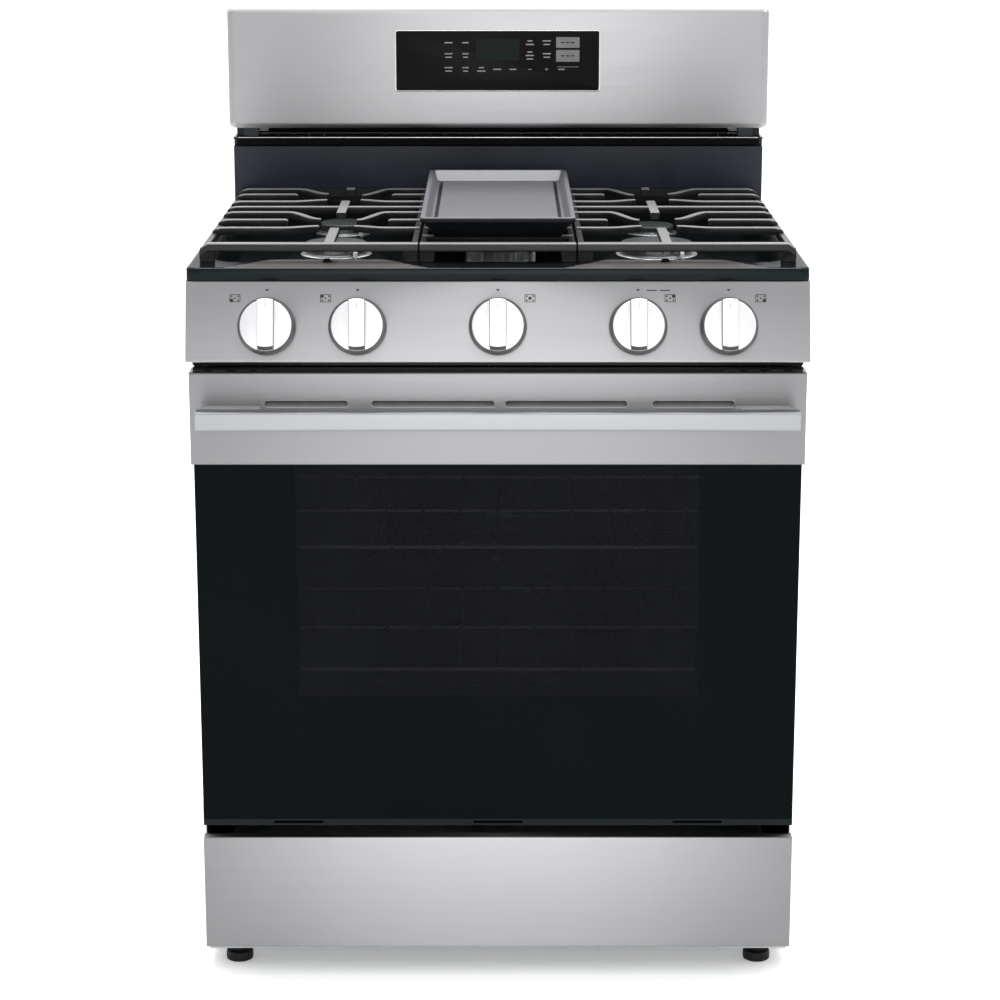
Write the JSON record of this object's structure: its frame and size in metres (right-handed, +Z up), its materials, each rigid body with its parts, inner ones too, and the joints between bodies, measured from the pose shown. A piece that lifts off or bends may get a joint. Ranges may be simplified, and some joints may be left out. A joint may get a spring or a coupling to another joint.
{
  "type": "gas range",
  "caption": "Freestanding gas range with a drop-down oven door, storage drawer, cast grates, griddle, slanted knob panel and a backguard with a display.",
  "frame": {"origin": "on the floor, under the middle of the bounding box", "axes": "+X to the right seen from the front, +Y to the back, +Z up"},
  "size_m": [0.758, 0.735, 1.196],
  "materials": {
    "stainless": "horizontal brushed satin",
    "handle_steel": "bright satin bar",
    "knob_metal": "bright brushed metal face",
    "bright_steel": "turned",
    "rack_wire": "plated wire",
    "galvanised": "zinc-coated sheet",
    "black_paint": "satin black paint",
    "black_enamel": "glossy porcelain enamel",
    "riser_enamel": "blue-black satin enamel",
    "cavity_enamel": "dark blue speckled enamel",
    "cast_iron": "matte black",
    "griddle": "grey cooking coat",
    "aluminium": "cast, satin",
    "brass": "plain",
    "display_glass": null,
    "door_glass": "black-printed glass with a tinted window",
    "glass_wool": "matted wool blanket",
    "black_plastic": "moulded"
  },
  "bodies": {
    "range": {"back_panel": "galvanised", "backguard_cover": "galvanised", "backguard_shell": "stainless", "bake_burner": "galvanised", "base_frame": "galvanised", "broil_burner": "galvanised", "burner_base_centre": "aluminium", "burner_base_left_front": "aluminium", "burner_base_left_rear": "aluminium", "burner_base_right_front": "aluminium", "burner_base_right_rear": "aluminium", "burner_cap_centre": "cast_iron", "burner_cap_left_front": "cast_iron", "burner_cap_left_rear": "cast_iron", "burner_cap_right_front": "cast_iron", "burner_cap_right_rear": "cast_iron", "control_panel": "stainless", "cooktop": "black_enamel", "display_glass": "display_glass", "fan_cover": "cavity_enamel", "foot_front_left": "black_plastic", "foot_front_right": "black_plastic", "foot_rear_left": "black_plastic", "foot_rear_right": "black_plastic", "gas_inlet": "brass", "gas_manifold": "brass", "hinge_arm_left": "galvanised", "hinge_arm_right": "galvanised", "mains_inlet": "black_plastic", "oven_floor": "cavity_enamel", "oven_insulation": "glass_wool", "oven_liner": "cavity_enamel", "side_panel_left": "black_paint", "side_panel_right": "black_paint", "vent_riser": "riser_enamel"},
    "door": {"door_band": "stainless", "door_glass": "door_glass", "door_inner_panel": "black_enamel", "door_inner_glass": "door_glass", "door_bottom_trim": "black_paint", "door_handle": "handle_steel"},
    "drawer": {"drawer_front": "stainless", "drawer_box": "galvanised"},
    "rack_upper": {"oven_rack_upper": "rack_wire"},
    "rack_lower": {"oven_rack_lower": "rack_wire"},
    "grate_left": {"grate_left": "cast_iron"},
    "grate_centre": {"grate_centre": "cast_iron"},
    "grate_right": {"grate_right": "cast_iron"},
    "griddle": {"griddle": "griddle"},
    "fan": {"convection_fan": "galvanised"},
    "stem_1": {"valve_stem_1": "bright_steel"},
    "knob_1": {"knob_1": "knob_metal"},
    "stem_2": {"valve_stem_2": "bright_steel"},
    "knob_2": {"knob_2": "knob_metal"},
    "stem_3": {"valve_stem_3": "bright_steel"},
    "knob_3": {"knob_3": "knob_metal"},
    "stem_4": {"valve_stem_4": "bright_steel"},
    "knob_4": {"knob_4": "knob_metal"},
    "stem_5": {"valve_stem_5": "bright_steel"},
    "knob_5": {"knob_5": "knob_metal"}
  },
  "joints": [
    {"name": "door_hinge", "type": "hinge", "parent": "range", "child": "door", "pos_m": [0, -0.2875, 0.221], "axis": [1, 0, 0], "range_deg": [0, 88], "stiffness_Nm_per_rad": 14, "springref_deg": -8.59},
    {"name": "drawer_slide", "type": "slide", "parent": "range", "child": "drawer", "axis": [0, -1, 0], "range_m": [0, 0.38]},
    {"name": "rack_upper_slide", "type": "slide", "parent": "range", "child": "rack_upper", "axis": [0, -1, 0], "range_m": [-0.02, 0.022]},
    {"name": "rack_lower_slide", "type": "slide", "parent": "range", "child": "rack_lower", "axis": [0, -1, 0], "range_m": [-0.02, 0.022]},
    {"name": "grate_left_lift", "type": "slide", "parent": "range", "child": "grate_left", "axis": [0, 0, 1], "range_m": [0, 0.08]},
    {"name": "grate_centre_lift", "type": "slide", "parent": "range", "child": "grate_centre", "axis": [0, 0, 1], "range_m": [0, 0.08]},
    {"name": "grate_right_lift", "type": "slide", "parent": "range", "child": "grate_right", "axis": [0, 0, 1], "range_m": [0, 0.08]},
    {"name": "griddle_lift", "type": "slide", "parent": "grate_centre", "child": "griddle", "axis": [0, 0, 1], "range_m": [0, 0.055]},
    {"name": "fan_spin", "type": "hinge", "parent": "range", "child": "fan", "pos_m": [0, 0.2105, 0.49], "axis": [0, -1, 0], "continuous": true},
    {"name": "knob_1_push", "type": "slide", "parent": "range", "child": "stem_1", "axis": [0, 0.9582, -0.2861], "range_m": [0, 0.003], "stiffness_N_per_m": 1500, "springref_m": -0.002},
    {"name": "knob_1_turn", "type": "hinge", "parent": "stem_1", "child": "knob_1", "pos_m": [-0.28, -0.31565, 0.8494], "axis": [0, -0.9582, 0.2861], "range_deg": [0, 250]},
    {"name": "knob_2_push", "type": "slide", "parent": "range", "child": "stem_2", "axis": [0, 0.9582, -0.2861], "range_m": [0, 0.003], "stiffness_N_per_m": 1500, "springref_m": -0.002},
    {"name": "knob_2_turn", "type": "hinge", "parent": "stem_2", "child": "knob_2", "pos_m": [-0.17, -0.31565, 0.8494], "axis": [0, -0.9582, 0.2861], "range_deg": [0, 250]},
    {"name": "knob_3_push", "type": "slide", "parent": "range", "child": "stem_3", "axis": [0, 0.9582, -0.2861], "range_m": [0, 0.003], "stiffness_N_per_m": 1500, "springref_m": -0.002},
    {"name": "knob_3_turn", "type": "hinge", "parent": "stem_3", "child": "knob_3", "pos_m": [0, -0.31565, 0.8494], "axis": [0, -0.9582, 0.2861], "range_deg": [0, 250]},
    {"name": "knob_4_push", "type": "slide", "parent": "range", "child": "stem_4", "axis": [0, 0.9582, -0.2861], "range_m": [0, 0.003], "stiffness_N_per_m": 1500, "springref_m": -0.002},
    {"name": "knob_4_turn", "type": "hinge", "parent": "stem_4", "child": "knob_4", "pos_m": [0.17, -0.31565, 0.8494], "axis": [0, -0.9582, 0.2861], "range_deg": [0, 250]},
    {"name": "knob_5_push", "type": "slide", "parent": "range", "child": "stem_5", "axis": [0, 0.9582, -0.2861], "range_m": [0, 0.003], "stiffness_N_per_m": 1500, "springref_m": -0.002},
    {"name": "knob_5_turn", "type": "hinge", "parent": "stem_5", "child": "knob_5", "pos_m": [0.28, -0.31565, 0.8494], "axis": [0, -0.9582, 0.2861], "range_deg": [0, 250]}
  ]
}
